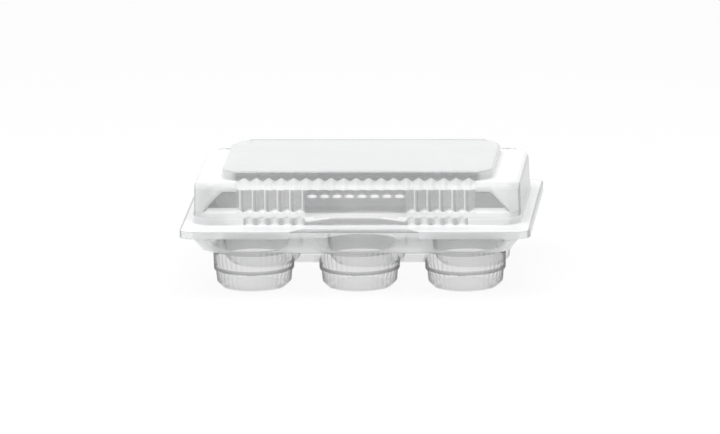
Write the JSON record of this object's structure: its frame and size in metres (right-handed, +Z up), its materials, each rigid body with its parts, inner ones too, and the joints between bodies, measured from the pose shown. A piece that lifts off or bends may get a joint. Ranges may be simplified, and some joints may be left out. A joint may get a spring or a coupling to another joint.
{
  "type": "clear plastic clamshell pack",
  "caption": "Clear thermoformed hinged clamshell with fluted lid and round cup wells, for small cakes.",
  "frame": {"origin": "on the table under the middle of the closed pack", "axes": "+X to the right along the length, +Y from the front edge to the hinge, +Z up"},
  "size_m": [0.24, 0.1644, 0.083],
  "materials": {
    "clear_sheet": "glossy clear thermoformed sheet"
  },
  "bodies": {
    "base": {"base_tray": "clear_sheet", "hinge_bead": "clear_sheet"},
    "lid": {"lid": "clear_sheet"}
  },
  "joints": [
    {"name": "lid_hinge", "type": "hinge", "parent": "base", "child": "lid", "pos_m": [0, 0.08175, 0.047], "axis": [-1, 0, 0], "range_deg": [0, 180], "deforming": ["hinge_bead"]}
  ]
}
